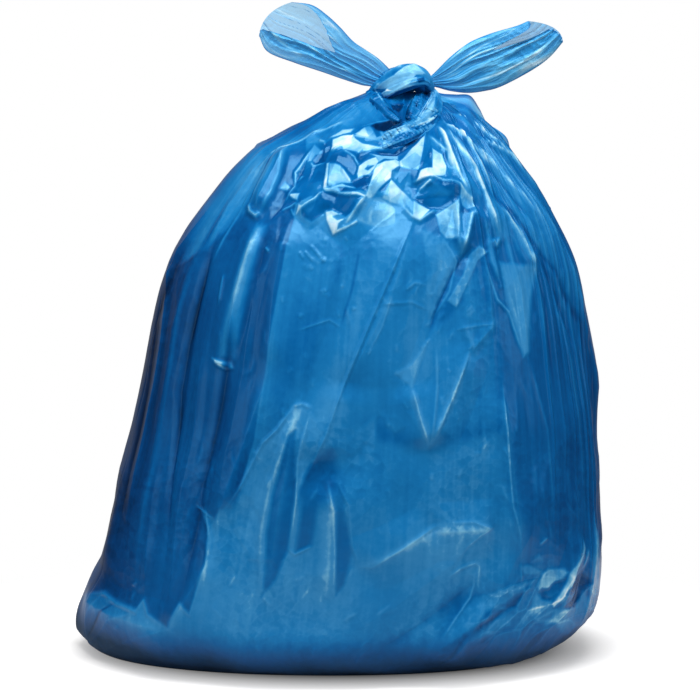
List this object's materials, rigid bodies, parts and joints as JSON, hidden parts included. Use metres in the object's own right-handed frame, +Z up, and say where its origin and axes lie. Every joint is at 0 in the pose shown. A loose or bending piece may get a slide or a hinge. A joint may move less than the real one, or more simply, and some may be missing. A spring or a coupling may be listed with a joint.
{
  "type": "bin bag",
  "caption": "Full bin bag of thin glossy blue film, standing on a flat base, gathered and knotted at the neck with two ears.",
  "frame": {"origin": "on the floor, under the middle of the bag's box", "axes": "+Z up, +X to the bag's right as seen from its front, +Y towards its back"},
  "size_m": [0.531, 0.3978, 0.651],
  "materials": {
    "blue_film": "thin glossy slightly see-through polythene film"
  },
  "bodies": {
    "root": {"bin_bag": "blue_film"}
  },
  "joints": []
}
